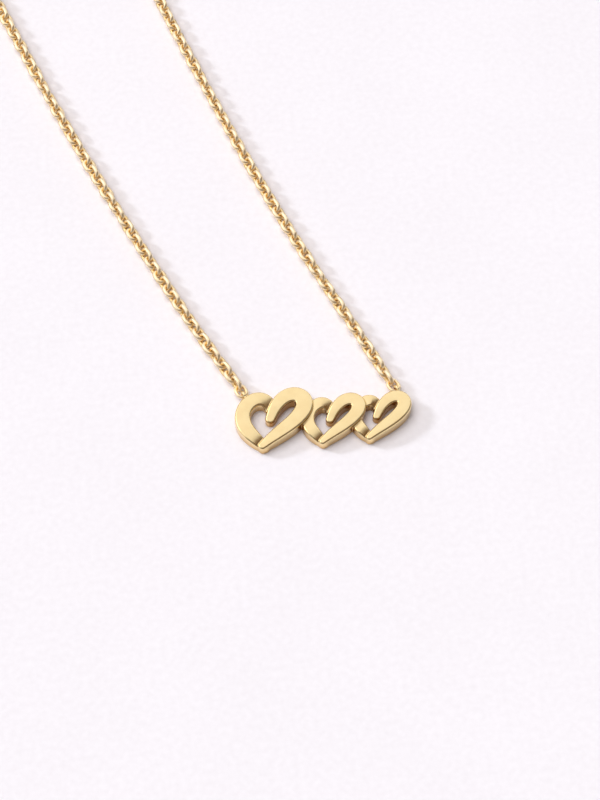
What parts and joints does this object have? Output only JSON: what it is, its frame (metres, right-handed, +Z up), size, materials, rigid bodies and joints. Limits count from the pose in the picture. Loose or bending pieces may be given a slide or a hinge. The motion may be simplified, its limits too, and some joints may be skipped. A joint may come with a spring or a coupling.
{
  "type": "heart bar necklace",
  "caption": "Gold-tone necklace lying flat: a bar of linked brush-stroke hearts with soldered eyes on a fine cable chain, closed by a plain hook clasp and ring.",
  "frame": {"origin": "on the back of the bar, which rests on the surface, where the first two hearts overlap", "axes": "+X along the bar, +Y from the bar towards the clasp, +Z up from the surface that the necklace lies on"},
  "size_m": [0.1004, 0.2002, 0.003],
  "materials": {
    "bar_gold": "gold plate, satin on the flat face and polished on the walls",
    "chain_gold": "gold plate, polished"
  },
  "bodies": {
    "root": {"pendant": "bar_gold", "end_link_left": "chain_gold", "end_link_right": "chain_gold", "chain_left": "chain_gold", "chain_right": "chain_gold", "end_link_hook": "chain_gold", "clasp": "chain_gold", "end_ring": "chain_gold", "end_link_ring": "chain_gold"}
  },
  "joints": []
}
